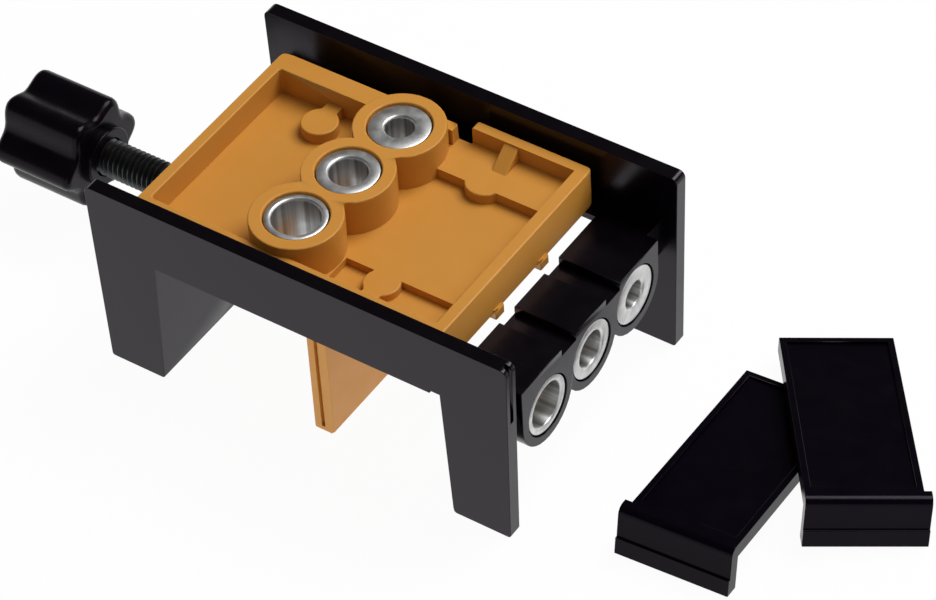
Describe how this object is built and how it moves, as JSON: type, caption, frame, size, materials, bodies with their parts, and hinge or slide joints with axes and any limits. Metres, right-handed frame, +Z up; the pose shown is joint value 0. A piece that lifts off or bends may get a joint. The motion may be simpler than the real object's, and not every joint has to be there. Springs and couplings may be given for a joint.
{
  "type": "doweling jig",
  "caption": "Doweling jig: open frame with a sliding drill guide and jaw, steel drill bushings above and at the end, a clamping spindle with knob and pad, and loose edge plates.",
  "frame": {"origin": "middle of the underside of the cross wall that holds the spindle's nut, on the plane the feet stand on", "axes": "+Z up, +X along the frame from the knob towards the end block, +Y from the front wall to the back wall"},
  "size_m": [0.2128, 0.0826, 0.047],
  "materials": {
    "black_plastic": "satin moulded",
    "ochre_plastic": "satin moulded",
    "plated_steel": "bright zinc plated",
    "black_steel": "blackened"
  },
  "bodies": {
    "frame_body": {"frame": "black_plastic", "spindle_nut": "plated_steel", "end_bushing_10": "plated_steel", "end_bushing_8": "plated_steel", "end_bushing_6": "plated_steel", "edge_plate_left": "black_plastic", "edge_plate_right": "black_plastic"},
    "guide_body": {"guide_slide": "ochre_plastic", "guide_bushing_10": "plated_steel", "guide_bushing_8": "plated_steel", "guide_bushing_6": "plated_steel"},
    "pad_body": {"pressure_pad": "plated_steel"},
    "spindle_body": {"clamp_spindle": "black_steel", "knob": "black_plastic"}
  },
  "joints": [
    {"name": "guide_travel", "type": "slide", "parent": "frame_body", "child": "guide_body", "axis": [1, 0, 0], "range_m": [-0.008, 0.018]},
    {"name": "pad_travel", "type": "slide", "parent": "frame_body", "child": "pad_body", "axis": [1, 0, 0], "range_m": [0, 0.0205]},
    {"name": "spindle_turn", "type": "hinge", "parent": "pad_body", "child": "spindle_body", "pos_m": [0.00288, 0, 0.0187], "axis": [1, 0, 0], "range_deg": [0, 5905]}
  ],
  "couplings": [
    {"joint": "spindle_turn", "follows": "pad_travel", "rad_per_m": 5026.5}
  ]
}
